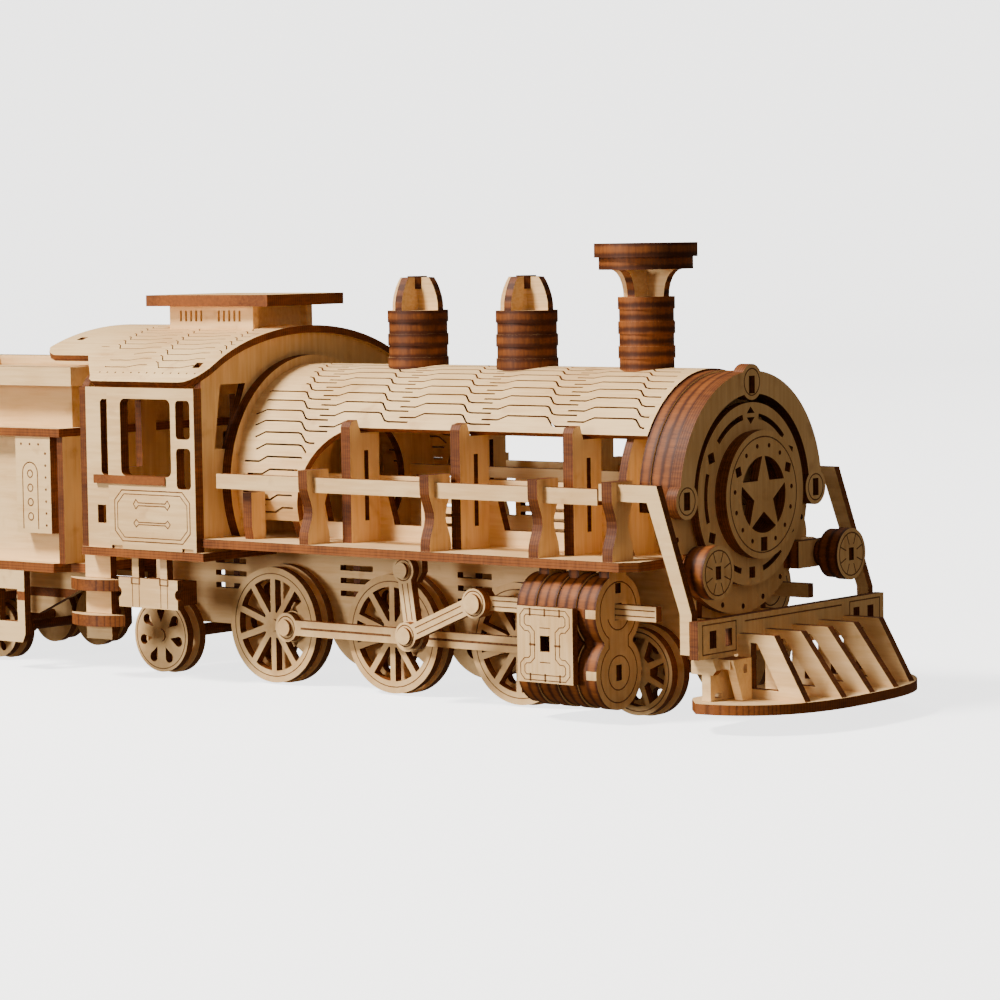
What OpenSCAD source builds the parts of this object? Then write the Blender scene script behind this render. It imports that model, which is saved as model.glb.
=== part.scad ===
// Plywood jigsaw model of a steam locomotive with its tender.
// +X is forward, +Y is the locomotive's left, +Z is up, and z = 0 is the rail.
// Plates are flat cut outlines: xz() stands one fore and aft, yz() stands one
// across the model and xy() lays one flat.

/* [Plywood] */
// Thickness of the structural plates
ply = 2; // [1.9:0.05:2]
// Thickness of the plates that are stacked into rings and blocks
stack = 2.7; // [2.6:0.05:2.7]

/* [Overall] */
// Length of the locomotive and tender together
total_len = 308; // [307:1:310]
// Half of the width over the cab eaves
half_w = 38.5; // [38.5:0.1:39]
// Height of the chimney top
chimney_top = 102; // [101.5:0.1:103]

/* [Wheels] */
// Flange radius of the driving wheels
driver_r = 14; // [13.8:0.1:14]
// Distance between neighbouring driving axles
driver_base = 36.8; // [36.5:0.1:37]
// Throw of the driving cranks
crank = 6.2; // [6:0.1:6.3]
// Flange radius of the leading wheels
leading_r = 10; // [9.8:0.1:10]
// Flange radius of the trailing wheels
trailing_r = 9.4; // [9.2:0.1:9.5]
// Flange radius of the tender wheels
tender_wheel_r = 7.4; // [7.2:0.1:7.5]
// Radius of the locomotive's axles
axle_r = 1.5; // [1.4:0.1:1.6]

/* [Boiler] */
// Height of the boiler's centre line
boiler_z = 47.6; // [47.6:0.1:48]
// Outer radius of the boiler skin
boiler_r = 27; // [26.9:0.1:27]
// Thickness of the bent skins of the boiler and the roof
skin = 1.8; // [1.7:0.1:1.8]

/* [Hidden] */
$fn = 48;

face_colour = "burlywood";
stack_colour = "peru";
dark_colour = "sienna";

// Fore and aft stations, before the model is centred on its own length
front_tip = 112.5;
x_shift = total_len / 2 - front_tip;
mid_axle_x = -4.3;
driver_x = [mid_axle_x - driver_base, mid_axle_x, mid_axle_x + driver_base];
leading_x = 65;
trailing_x = -78;
cab_rear_x = -86;
cab_front_x = -48;
board_front_x = 76;
smoke_x = 71.2;
beam_x = 90.2;
drawbar_x = -88;
tender_front_x = -92.5;
tender_rear_x = -190;
bogie_x = [-143.5, -176];
bogie_half_base = 8;
hook_r = 3.5;
hook_x = hook_r - total_len / 2 - x_shift;

// Heights
board_z = 33.2;
deck_z = board_z + ply;
cab_floor_z = 30;
cab_z = cab_floor_z + ply;
eave_z = 70;
rod_z = 23.9;
tender_z = 24.6;
ledge_z = 57.5;
rim_z = 69.8;
bulkhead_x = -98.5;
tender_top_z = 74.3;

// Distances out from the centre line
wheel_y = 20;
flange_y = 16.3;
side_y = 13;
inner_y = 18;
rail_y = 34.4;
board_half = 36.5;
cab_half = 37.5;
// Half width over the cover plates and sills
cover_half = half_w - 0.1;
beam_half = 35.3;
tender_half = 34;
tender_wall_y = 30;
hopper_y = 28;
cylinder_y = 28.6;
link_y = 29.6;
coupling_y = 22.4;
bogie_side_y = 24;

fit = 0.05;
pin_r = 1;
bogie_axle_r = 1.2;
pivot_r = 2;

// Links of the valve gear, as seen from the side
arm_top = [7.5, 30];
arm_foot = [9.7, 15.6];
rod_eye = [29.5, rod_z];

// ---------- plates and outlines ----------

module xz(y0, t) translate([0, y0 + t, 0]) rotate([90, 0, 0]) linear_extrude(t) children();
module yz(x0, t) translate([x0, 0, 0]) rotate([90, 0, 90]) linear_extrude(t) children();
module xy(z0, t) translate([0, 0, z0]) linear_extrude(t) children();
module in_place() translate([x_shift, 0, 0]) children();

// s = 1 puts a piece drawn on the right (-Y) side there, s = -1 mirrors it to the left
module side(s) if (s > 0) children(); else mirror([0, 1, 0]) children();
module both_sides() { side(1) children(); side(-1) children(); }

module rect(x0, y0, x1, y1) translate([x0, y0]) square([x1 - x0, y1 - y0]);

// Upright rectangle with round corners
module soft_rect(x0, y0, x1, y1, r) {
    rect(x0 + r, y0, x1 - r, y1);
    rect(x0, y0 + r, x1, y1 - r);
    for (x = [x0 + r, x1 - r]) for (y = [y0 + r, y1 - r]) translate([x, y]) circle(r);
}

module bar2d(a, b, w) {
    d = b - a;
    translate(a) rotate(atan2(d.y, d.x)) translate([0, -w / 2]) square([norm(d), w]);
}

// ---------- wheels ----------

module annulus_y(y0, t, r, bore) xz(y0, t) difference() {
    circle(r);
    circle(bore);
}

// Spoked driving wheel face, crank pin at +X
module driver_face2d() {
    rim_in = driver_r - 3.2;
    difference() {
        union() {
            difference() {
                circle(driver_r - 0.4);
                circle(rim_in);
            }
            circle(3.1);
            for (i = [0:9]) rotate(18 + 36 * i) translate([2, -0.75]) square([rim_in - 1.2, 1.5]);
            translate([crank, 0]) circle(3.7);
            intersection() {
                difference() {
                    circle(rim_in + 0.5);
                    circle(rim_in - 2.3);
                }
                polygon([[0, 0], [14, -9], [14, 9]]);
            }
        }
        circle(axle_r);
        translate([crank, 0]) circle(pin_r + 0.1);
    }
}

// Small wheel face with round-ended openings, or wedge openings when round is false
module small_face2d(r, bore, holes, round_ends) {
    difference() {
        circle(r - 0.5);
        circle(bore);
        for (i = [0:holes - 1]) rotate(360 * i / holes + 90) {
            if (round_ends) {
                translate([r * 0.63, 0]) circle(r * 0.13);
                polygon([[r * 0.33, 0], [r * 0.6, -r * 0.125], [r * 0.6, r * 0.125]]);
            } else polygon([[r * 0.36, -r * 0.07], [r * 0.72, -r * 0.24],
                [r * 0.76, 0], [r * 0.72, r * 0.24], [r * 0.36, r * 0.07]]);
        }
    }
}

// Everything of one wheel outside the frame: face, spacer, flange and inner hub
module wheel_stack(r, bore, inner_end) {
    xz(-wheel_y, ply) children();
    annulus_y(-wheel_y + ply, wheel_y - flange_y - ply, 3, bore);
    xz(-flange_y, ply) difference() {
        circle(r);
        circle(bore);
        for (i = [0:5]) rotate(60 * i) translate([r * 0.6, 0]) circle(r * 0.16);
    }
    annulus_y(-flange_y + ply, flange_y - ply - inner_end, 2.6, bore);
}

module axle(half) translate([0, half, 0]) rotate([90, 0, 0]) cylinder(r = axle_r, h = 2 * half);

module driver(i) color(face_colour) in_place() translate([driver_x[i], 0, driver_r]) {
    both_sides() {
        wheel_stack(driver_r, axle_r, side_y + 0.1) driver_face2d();
        translate([crank, 0, 0]) {
            xz(-coupling_y - 0.2, coupling_y + 0.2 - wheel_y + ply) circle(pin_r + 0.1);
            xz(-coupling_y - 1, 0.8) circle(1.9);
        }
    }
    axle(wheel_y + 0.4);
}
module driver_rear() driver(0);
module driver_middle() driver(1);
module driver_front() driver(2);

module small_wheelset(x, r, holes, round_ends) color(face_colour) in_place() translate([x, 0, r]) {
    both_sides() wheel_stack(r, axle_r, side_y + 0.1) small_face2d(r, axle_r, holes, round_ends);
    axle(wheel_y + 0.4);
}
module leading_wheelset() small_wheelset(leading_x, leading_r, 8, false);
module trailing_wheelset() small_wheelset(trailing_x, trailing_r, 7, true);

// ---------- chassis ----------

module chassis_outline2d() difference() {
    union() {
        polygon([[cab_rear_x, 12.5], [cab_rear_x, cab_floor_z], [-46, cab_floor_z], [-46, board_z],
            [board_front_x, board_z], [board_front_x, 21.5], [beam_x, 21.5], [beam_x, 16], [84, 12.5]]);
        for (x = driver_x) translate([x, driver_r]) circle(5);
        translate([leading_x, leading_r]) circle(4.6);
        translate([trailing_x, trailing_r]) circle(4.6);
        rect(-60, 10.5, -54, 14);
    }
    for (x = driver_x) translate([x, driver_r]) circle(axle_r + fit);
    translate([leading_x, leading_r]) circle(axle_r + fit);
    translate([trailing_x, trailing_r]) circle(axle_r + fit);
    for (x = [-66, -26, 9.5, 46]) for (k = [0:2]) rect(x, 21 + 3 * k, x + 10, 22.3 + 3 * k);
}

module chassis_sides() color(dark_colour) in_place() both_sides() xz(-side_y, ply) chassis_outline2d();

module chassis_crossbars() color(dark_colour) in_place() {
    gap = side_y - ply;
    yz(-62, ply) rect(-gap, 14, gap, cab_floor_z);
    for (x = [-23.7, 13.1, 48, 72]) yz(x, ply) rect(-gap, 17, gap, board_z);
}

module running_board() color(face_colour) in_place() xy(board_z, ply) polygon([
    [cab_front_x, -board_half], [board_front_x - 3, -board_half], [board_front_x, -board_half + 3],
    [board_front_x, board_half - 3], [board_front_x - 3, board_half], [cab_front_x, board_half]]);

// ---------- boiler ----------

rib_x = [-11.7, 20.5, 52];
former_x = [-31, 64.5];

module boiler_sides() color(face_colour) in_place() both_sides() xz(-inner_y, ply) difference() {
    rect(former_x[0] + ply, deck_z, former_x[1], 50);
    for (x = rib_x) translate([x, 0]) {
        polygon([[4.5, 47.5], [7, 38.8], [15, 38.8], [15, 47.5]]);
        for (k = [0:3]) rect(16.5, 39 + 2.2 * k, 26, 39.8 + 2.2 * k);
    }
    polygon([[-27, 47.5], [-25, 38.8], [-14, 38.8], [-14, 47.5]]);
}

module rib2d() difference() {
    polygon([[-28, deck_z], [-28, 61.5], [-27.4, 62.6], [-25.4, 63], [-24.3, 60],
        [-inner_y, 60], [-inner_y, deck_z]]);
    rect(-23.2, 40, -21.8, 56);
}

module boiler_ribs() color(stack_colour) in_place() both_sides() {
    for (x = rib_x) yz(x, stack) rib2d();
    yz(-38.7, stack) polygon([[-31.4, deck_z], [-32, 38], [-32, 46], [-boiler_r - 0.4, 46],
        [-boiler_r - 0.4, deck_z]]);
}

module boiler_formers() color(face_colour) in_place() {
    for (x = former_x) yz(x, ply) difference() {
        translate([0, boiler_z]) circle(boiler_r - skin - fit);
        rect(-30, 0, 30, deck_z);
        translate([0, boiler_z]) circle(14);
    }
    // ring that closes the rear end of the skin against the cab wall
    yz(cab_front_x, stack) difference() {
        translate([0, boiler_z]) circle(boiler_r + 2);
        rect(-30, 0, 30, deck_z);
        translate([0, boiler_z]) circle(boiler_r - 3);
    }
}

// The bent sheet reaches lower beside the firebox than along the barrel
module boiler_skin() color(face_colour) in_place() intersection() {
    translate([cab_front_x + stack, 0, boiler_z]) rotate([0, 90, 0]) difference() {
        cylinder(r = boiler_r, h = smoke_x - cab_front_x - stack, $fn = 96);
        cylinder(r = boiler_r - skin, h = 400, center = true, $fn = 96);
    }
    xz(-40, 80) polygon(concat(
        [[-60, 80], [-60, 39.3]],
        [for (i = [0:10]) let (a = 180 - 9 * i) [-10 + 17 * cos(a), 39.3 + 21.8 * sin(a)]],
        [[80, 61.1], [80, 80]]));
}

module smokebox_rings() color(stack_colour) in_place() {
    for (i = [0:2]) yz(smoke_x + i * stack, stack) difference() {
        translate([0, boiler_z]) circle(boiler_r - 0.4 - 0.35 * (i % 2), $fn = 96);
        translate([0, boiler_z]) circle(22.4, $fn = 96);
        rect(-30, 0, 30, 45);
    }
    yz(smoke_x, ply) difference() {
        translate([0, boiler_z]) circle(22.35, $fn = 96);
        rect(-30, 0, 30, deck_z);
    }
}

lug_r = 24.2;
lug_end_r = 3.9;
arch_x = smoke_x + 3 * stack;
module smokebox_arch() color(face_colour) in_place() yz(arch_x, stack) difference() {
    union() {
        difference() {
            translate([0, boiler_z]) circle(boiler_r - 0.4, $fn = 96);
            translate([0, boiler_z]) circle(21.7, $fn = 96);
            rect(-30, 0, 30, boiler_z);
        }
        for (a = [0, 90, 180]) translate([0, boiler_z]) rotate(a) translate([lug_r, 0]) circle(lug_end_r);
    }
    for (p = [[-lug_r, 0], [lug_r, 0], [0, lug_r - 0.6]])
        translate([p.x, boiler_z + p.y]) rect(-1.1, -1.9, 1.1, 1.9);
}

// The slotted disc stands on a thin spacer in front of the smokebox's own plate
plate_x = 78.5;
plate_gap = 1.1;
disc_x = plate_x + plate_gap;
recess_r = 8.8;
module arc_slot(middle, half_turn) rotate(middle) intersection() {
    difference() {
        circle(17.5);
        circle(16.3);
    }
    polygon([[0, 0], 25 * [cos(half_turn), -sin(half_turn)], 25 * [cos(half_turn), sin(half_turn)]]);
}

module smokebox_plate() color(dark_colour) in_place() translate([0, 0, boiler_z]) {
    yz(plate_x, plate_gap) difference() {
        circle(15);
        circle(recess_r);
    }
    yz(disc_x, ply) difference() {
        circle(19.8);
        circle(recess_r);
        for (middle = [0, 62, 118, 180]) arc_slot(middle, 18);
        for (middle = [-63, -117]) arc_slot(middle, 13);
        for (a = [-30, 30, 150, 210]) rotate(a) translate([17, 0]) rotate(45) square(2.2, center = true);
        // the top diamond is cut in two by a bar
        translate([0, 17]) difference() {
            rotate(45) square(2.7, center = true);
            square([5, 0.9], center = true);
        }
        translate([0, -17]) square([2.2, 2.4], center = true);
    }
}

// Lower half of the disc that closes the smokebox, with dots every 18 degrees
saddle_r = 26.1;
module smokebox_saddle() color(dark_colour) in_place() translate([0, 0, boiler_z])
    yz(plate_x - ply, ply) difference() {
        intersection() {
            circle(saddle_r, $fn = 96);
            rect(-saddle_r, -saddle_r, saddle_r, 45 - boiler_z);
        }
        for (a = [-160:18:-16]) rotate(a) translate([24.6, 0]) circle(0.6);
    }

door_r = 13.9;
door_gap = 1.2;
module star2d(r_out, r_in) polygon([for (i = [0:9])
    let (r = i % 2 == 0 ? r_out : r_in, a = 90 + 36 * i) [r * cos(a), r * sin(a)]]);

module smokebox_door() color(face_colour) in_place() translate([0, 0, boiler_z]) {
    yz(disc_x + ply, door_gap) difference() {
        circle(door_r - 0.3);
        circle(recess_r);
    }
    yz(disc_x + ply + door_gap, ply) difference() {
        circle(door_r);
        difference() {
            circle(8.3);
            star2d(9.6, 3.7);
        }
        // fifteen places round the door: a square below, two diamonds and twelve dots
        for (i = [0:14]) rotate(24 * i - 90) translate([10.7, 0]) {
            if (i == 0) square([3, 2.4], center = true);
            else if (i % 5 == 0) rotate(45) square(2, center = true);
            else circle(0.5);
        }
    }
}

// ---------- headlamps ----------

lamp_y = 25.2;
lamp_z = 33;
lamp_x = plate_x + 2 * ply;
lamp_r = 5.7;
module headlamps() in_place() both_sides() {
    color(stack_colour) {
        yz(plate_x, ply) rect(-21, lamp_z - 3, -16.5, lamp_z + 3);
        yz(plate_x + ply, ply) rect(-lamp_y - 3.5, lamp_z - 3, -16.5, lamp_z + 3);
        translate([0, -lamp_y, lamp_z]) yz(lamp_x, stack) circle(3);
        translate([0, -lamp_y, lamp_z]) yz(lamp_x + stack, stack) circle(lamp_r - 0.3);
    }
    color(face_colour) translate([0, -lamp_y, lamp_z]) yz(lamp_x + 2 * stack, stack) difference() {
        circle(lamp_r);
        square([1.9, 2.8], center = true);
    }
}

// ---------- chimney and domes ----------

// Rings stacked on the barrel; the lowest is scribed to the round skin
module ring_stack(r, top, count) difference() {
    for (i = [0:count - 1]) translate([0, 0, top - (i + 1) * stack]) difference() {
        cylinder(r = r - 0.25 * (i % 2), h = stack);
        translate([0, 0, -1]) cylinder(r = 2.6, h = stack + 2);
    }
    translate([-20, 0, boiler_z]) rotate([0, 90, 0]) cylinder(r = boiler_r, h = 40, $fn = 96);
}

// Two plates that cross at the middle; the second is cut through by the first
module crossed() {
    xz(-ply / 2, ply) children();
    difference() {
        yz(-ply / 2, ply) children();
        cube([40, ply, 400], center = true);
    }
}

chimney_x = 54;
cap_z = chimney_top - 2 * stack - 0.4;
flare_z = cap_z - 6;
module chimney() color(stack_colour) in_place() translate([chimney_x, 0, 0]) {
    ring_stack(6.3, flare_z, 7);
    crossed() polygon(concat(
        [for (i = [0:6]) let (a = 90 * i / 6) [9.2 - 3.7 * sin(a), cap_z - 6 * (1 - cos(a))]],
        [for (i = [6:-1:0]) let (a = 90 * i / 6) [-9.2 + 3.7 * sin(a), cap_z - 6 * (1 - cos(a))]]));
    difference() {
        translate([0, 0, cap_z]) cylinder(r = 10.4, h = stack);
        translate([0, 0, cap_z - 1]) cylinder(r = 6, h = 10);
    }
    difference() {
        translate([0, 0, cap_z + stack]) cylinder(r = 11.4, h = stack + 0.4);
        translate([0, 0, cap_z - 1]) cylinder(r = 6, h = 10);
    }
}

dome_top = 94.8;
dome_ring_z = 87.2;
button_z = 92.1;
dome_shoulder = [[6.85, dome_ring_z + 1.8], [6.5, dome_ring_z + 3.4], [5.8, dome_ring_z + 5.2],
    [5.1, dome_ring_z + 6.5], [4.3, dome_top]];
module dome_cap2d() polygon(concat(
    [[6.9, dome_ring_z]],
    dome_shoulder,
    [[1.8, dome_top], [1.8, button_z], [-1.8, button_z], [-1.8, dome_top]],
    [for (i = [4:-1:0]) [-dome_shoulder[i].x, dome_shoulder[i].y]],
    [[-6.9, dome_ring_z]]));

module dome(x) color(stack_colour) in_place() translate([x, 0, 0]) {
    ring_stack(7.05, dome_ring_z, 6);
    crossed() dome_cap2d();
    translate([0, 0, button_z]) cylinder(r = 2.3, h = stack + 0.3);
}
module dome_front() dome(20.3);
module dome_rear() dome(-12);

// ---------- handrails ----------

post_x = [-17.5, 18.4, 48.7, 68.6];
rail_z = 46.9;
rail_h = 3.4;
brace_z = 47.9;
brace_h = 3.6;

function waist(z) = 1.7 * pow(cos(90 * min(1, abs(z - 42.6) / 6)), 2);
module post2d(slot_z, slot_h) difference() {
    polygon(concat(
        [for (i = [0:12]) let (z = deck_z + (52 - deck_z) * i / 12) [-36.3 + waist(z), z]],
        [for (i = [12:-1:0]) let (z = deck_z + (52 - deck_z) * i / 12) [-29 - waist(z), z]]));
    rect(-rail_y, slot_z, -rail_y + ply, slot_z + slot_h);
}

module handrail_posts() color(stack_colour) in_place() both_sides() for (i = [0:3]) yz(post_x[i], stack)
    post2d(i == 3 ? brace_z : rail_z, i == 3 ? brace_h : rail_h);

module handrails() color(face_colour) in_place() both_sides() xz(-rail_y, ply)
    rect(-44.8, rail_z, 66, rail_z + rail_h);

module front_braces() color(face_colour) in_place() both_sides() xz(-rail_y, ply) polygon([
    [66.4, brace_z], [66.4, brace_z + brace_h], [81.5, brace_z + brace_h], [beam_x, 25],
    [beam_x, 16.5], [beam_x - 3, 16.5], [beam_x - 3, 25], [79, brace_z]]);

// ---------- cab ----------

// Height of an arched roof surface above the eave line, at distance y from the middle
function roof_rise(y, half, rise) = rise * pow(max(0, 1 - pow(y / half, 2)), 0.7);
function roof_line(half, rise, n) = [for (i = [0:n]) let (y = -half * cos(180 * i / n))
    [y, eave_z + roof_rise(y, half, rise)]];

roof_rise_out = 13.6;
roof_rise_in = 11.8;
roof_in = half_w - ply;
roof_rear_x = -107.5;

module under_roof2d() {
    polygon(concat([[roof_in, 20], [-roof_in, 20]], roof_line(roof_in, roof_rise_in, 32)));
    rect(-half_w, 20, half_w, eave_z);
}
module roof_solid2d() polygon(concat([[half_w, 20], [-half_w, 20]],
    roof_line(half_w, roof_rise_out, 32)));

module cab_floor() color(stack_colour) in_place() xy(cab_floor_z, ply)
    rect(cab_rear_x, -38, -46, 38);

panel_y = cab_half + 0.6;
module cab_windows2d() {
    soft_rect(-72, 49.3, -55.6, 67.4, 1.5);
    soft_rect(-53.9, 58.2, -49.3, 67.2, 1);
    soft_rect(-53.9, 46.6, -49.3, 56.1, 1);
}

module cab_sides() in_place() both_sides() {
    color(face_colour) xz(-cab_half, ply) difference() {
        rect(cab_rear_x + ply, cab_z, cab_front_x, eave_z);
        soft_rect(-79.2, 49.3, -74.2, 67.2, 1);
        cab_windows2d();
        rect(-80.7, 37.8, -77.9, 42.1);
    }
    // framed panel in front of the side plate
    color(face_colour) xz(-panel_y, panel_y - cab_half) difference() {
        rect(-76.3, cab_z, cab_front_x, eave_z);
        cab_windows2d();
        for (x = [-75.6, -52.6]) rect(x, cab_z - 1, x + 3.6, cab_z + 0.8);
    }
    // sill under the windows
    color(stack_colour) xz(-cover_half, cover_half - cab_half) rect(-81, 47.3, -57.5, 49.3);
}

module cab_front_wall() color(face_colour) in_place() yz(cab_front_x - ply, ply) difference() {
    intersection() {
        under_roof2d();
        rect(-cab_half + ply, cab_z, cab_half - ply, 90);
    }
    for (s = [0, 1]) mirror([s, 0]) polygon([[29.1, 70.6], [20.6, 70.6], [26.9, 55.5], [31.3, 55.8]]);
}

module cab_rear_wall() color(stack_colour) in_place() yz(cab_rear_x, ply) difference() {
    intersection() {
        under_roof2d();
        rect(-cab_half, cab_z, cab_half, 90);
    }
    rect(-14, cab_z - 1, 14, 66);
    for (s = [-1, 1]) translate([s * 24, 0]) rect(-5, 50, 5, 66);
}

// Bent roof sheet: full width over the cab, notched above the tender
module cab_roof() color(face_colour) in_place() difference() {
    yz(roof_rear_x, -46.2 - roof_rear_x) polygon(concat(roof_line(half_w, roof_rise_out, 32),
        [for (p = roof_line(roof_in, roof_rise_in, 32)) [-p.x, p.y]]));
    // the sides end at the cab, and only the crown reaches back over the tender
    xz(-50, 100) polygon([[roof_rear_x - 1, 60], [-83.4, 60], [-83.4, 70.6], [-90.6, 76.3],
        [roof_rear_x - 1, 76.3]]);
}

hatch_z = 88.4;
hatch_x = [-82, -54.5];
hatch_half = 10.5;
module roof_hatch() in_place() {
    color(face_colour) difference() {
        both_sides() xz(-hatch_half, ply) difference() {
            rect(hatch_x[0], 80, hatch_x[1], hatch_z);
            for (g = [-78.6, -66]) for (k = [0:4]) rect(g + 1.7 * k, 84.7, g + 1.7 * k + 0.7, 87.3);
        }
        yz(-110, 80) roof_solid2d();
    }
    color(stack_colour) difference() {
        for (x = [hatch_x[0] + ply, hatch_x[1] - 2 * ply]) yz(x, ply)
            rect(-hatch_half + ply, 80, hatch_half - ply, hatch_z);
        yz(-110, 80) roof_solid2d();
    }
    color(stack_colour) xy(hatch_z, stack) rect(-87, -13.5, -47, 13.5);
}

// Two half-round treads on a hanging plate
module tread2d() translate([-85, -34]) intersection() {
    translate([0, 8.1]) circle(12.1);
    rect(-12, -4, 12, 0);
}
module cab_steps() color(stack_colour) in_place() both_sides() {
    xz(-34, ply) rect(-89, 9.5, -80.5, cab_floor_z);
    xy(21.4, stack) tread2d();
    xy(12.9, stack) tread2d();
}

module tool_boxes() in_place() both_sides() {
    color(face_colour) xz(-36, ply) difference() {
        rect(-75.8, 18, -56.5, 25);
        for (x = [-76.2, -56.1]) translate([x, 21.5]) circle(1.3);
    }
    color(face_colour) for (x = [-71.3, -62]) xz(-36, ply) rect(x, 25, x + 2.2, cab_floor_z);
    color(stack_colour) xz(-34, 3 * ply) rect(-74, 18.7, -58, 24.3);
}

// ---------- cylinders and valve gear ----------

cyl_rear_x = 45.2;
cyl_plates = 8;
cyl_low_z = 10.8;
module cylinder2d(r) {
    for (z = [cyl_low_z, rod_z]) translate([-cylinder_y, z]) circle(r);
    rect(-cylinder_y - 5, cyl_low_z, -cylinder_y + 5, rod_z);
}

module cylinder_block(s) in_place() side(s) {
    color(stack_colour) for (i = [0:cyl_plates - 1]) yz(cyl_rear_x + i * stack, stack) difference() {
        union() {
            cylinder2d(i % 2 == 0 ? 7.6 : 8);
            if (i % 3 == 1) rect(-cylinder_y - 3, rod_z, -cylinder_y + 3, board_z);
        }
        rect(-link_y - 0.2, rod_z - 1.8, -link_y + ply + 0.2, rod_z + 1.8);
        if (i == cyl_plates - 1) {
            translate([-cylinder_y, cyl_low_z]) square([1.9, 3.4], center = true);
            translate([-cylinder_y, rod_z + 5]) square([1.9, 2.2], center = true);
        }
    }
    color(face_colour) xz(-cover_half, cover_half - cylinder_y - 8) difference() {
        rect(47, 8.8, 62, 25.1);
        translate([54.5, 17.2]) square([2.6, 3.4], center = true);
    }
}
module cylinder_right() cylinder_block(1);
module cylinder_left() cylinder_block(-1);

module link_hangers() color(stack_colour) in_place() both_sides() {
    xz(-link_y + ply + 0.2, ply) difference() {
        polygon([[3.8, board_z], [3.8, 29.5], [5.5, 27], [9.5, 27], [11.2, 29.5], [11.2, board_z]]);
        translate(arm_top) circle(pin_r);
    }
    translate([arm_top.x, 0, arm_top.y]) {
        xz(-link_y - 0.3, 2 * ply + 0.5) circle(pin_r);
        xz(-link_y - 1, 0.7) circle(1.8);
    }
}

module eye(p, r) translate(p) circle(r);

module link_arm(s) color(face_colour) in_place() side(s) {
    xz(-link_y, ply) difference() {
        union() {
            eye(arm_top, 3);
            eye(arm_foot, 3.5);
            bar2d(arm_top, arm_foot, 3.8);
        }
        eye(arm_top, pin_r + 0.06);
        eye(arm_foot, pin_r);
    }
    translate([arm_foot.x, 0, arm_foot.y]) {
        xz(-link_y - 2.3, 2.3 + ply) circle(pin_r);
        xz(-link_y - 3, 0.7) circle(1.9);
    }
}
module link_arm_right() link_arm(1);
module link_arm_left() link_arm(-1);

module diagonal_rod(s) color(face_colour) in_place() side(s) xz(-link_y - 2.2, ply) difference() {
    union() {
        eye(arm_foot, 3);
        eye(rod_eye, 3.3);
        bar2d(arm_foot, rod_eye, 3.6);
    }
    eye(arm_foot, pin_r + 0.06);
    eye(rod_eye, 1.4);
}
module diagonal_rod_right() diagonal_rod(1);
module diagonal_rod_left() diagonal_rod(-1);

module piston_rod(s) color(face_colour) in_place() side(s) {
    xz(-link_y, ply) difference() {
        union() {
            eye(rod_eye, 3.2);
            rect(rod_eye.x, rod_z - 1.6, 77.5, rod_z + 1.6);
        }
        eye(rod_eye, pin_r);
    }
    translate([rod_eye.x, 0, rod_eye.y]) {
        xz(-link_y - 2.4, 2.4 + ply) circle(pin_r);
        xz(-link_y - 3.1, 0.7) circle(2.2);
    }
}
module piston_rod_right() piston_rod(1);
module piston_rod_left() piston_rod(-1);

module coupling_rod(s) color(face_colour) in_place() side(s) xz(-coupling_y, ply) difference() {
    union() {
        for (x = driver_x) eye([x + crank, driver_r], 3.4);
        bar2d([driver_x[0] + crank, driver_r], [driver_x[2] + crank, driver_r], 3.5);
    }
    for (x = driver_x) eye([x + crank, driver_r], pin_r + 0.16);
}
module coupling_rod_right() coupling_rod(1);
module coupling_rod_left() coupling_rod(-1);

// ---------- front end ----------

beam_t = 2.2;
base_z = 4.4;
base_half = 34.5;
base_rear_x = 85;
base_nose = front_tip - beam_x - 0.8;
function base_edge(y) = beam_x + 0.8 + base_nose * sqrt(max(0, 1 - pow(abs(y) / base_half, 2.8)));

module buffer_beam() color(face_colour) in_place() yz(beam_x, beam_t) difference() {
    rect(-beam_half, 15.7, beam_half, 23.7);
    for (y = [-29.9, -24.3, 24.3, 29.9]) rect(y - 1.2, 17.7, y + 1.2, 21.4);
}

module pilot_base() color(stack_colour) in_place() {
    floor_z = base_z + beam_t;
    xy(base_z, beam_t) polygon(concat(
        [[base_rear_x, 27], [base_rear_x, -27], [base_rear_x + 1.5, -29.5]],
        [for (i = [0:36]) let (y = -base_half * cos(5 * i)) [base_edge(y), y]],
        [[base_rear_x + 1.5, 29.5]]));
    both_sides() {
        xz(-31, ply) polygon([[87.5, 12.2], [93, 12.2], [93.9, 13.2], [92.9, 15.7], [87.5, 15.7]]);
        yz(94.8, ply) difference() {
            polygon([[-29, 15.4], [-25.6, floor_z], [-22.4, floor_z], [-22.4, 15.4]]);
            rect(-25.3, 12.4, -23.9, 14.2);
        }
        yz(beam_x, beam_t) difference() {
            rect(-31, floor_z, -22.4, 15.7);
            rect(-29.5, floor_z + 0.6, -27, floor_z + 1.6);
        }
        xy(13.4, ply) rect(beam_x, -29, 96, -23);
    }
}

module pilot_slats() color(face_colour) in_place() for (i = [-2:2]) {
    y = 10 * i;
    foot = base_edge(abs(y) + ply / 2) - 0.3;
    floor_z = base_z + beam_t;
    back = beam_x + beam_t;
    xz(y - ply / 2, ply) difference() {
        polygon([[back, floor_z], [back, 20], [101.6, 20], [foot, floor_z]]);
        polygon([[back + 3.3, floor_z + 1.9], [back + 3.3, 18.2], [97.3, 18.2],
            [foot - 6.6, floor_z + 1.9]]);
    }
}

// ---------- coupling between locomotive and tender ----------

module loco_drawbar() color(stack_colour) in_place() {
    xy(cab_floor_z - ply, ply) difference() {
        rect(-93, -6, -79, 6);
        translate([drawbar_x, 0]) circle(pivot_r);
    }
    translate([drawbar_x, 0, tender_z - ply - 0.6])
        cylinder(r = pivot_r, h = cab_floor_z - tender_z + ply + 0.6);
    translate([drawbar_x, 0, tender_z - ply - 1.6]) cylinder(r = 3, h = 1);
}

// ---------- tender ----------

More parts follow.
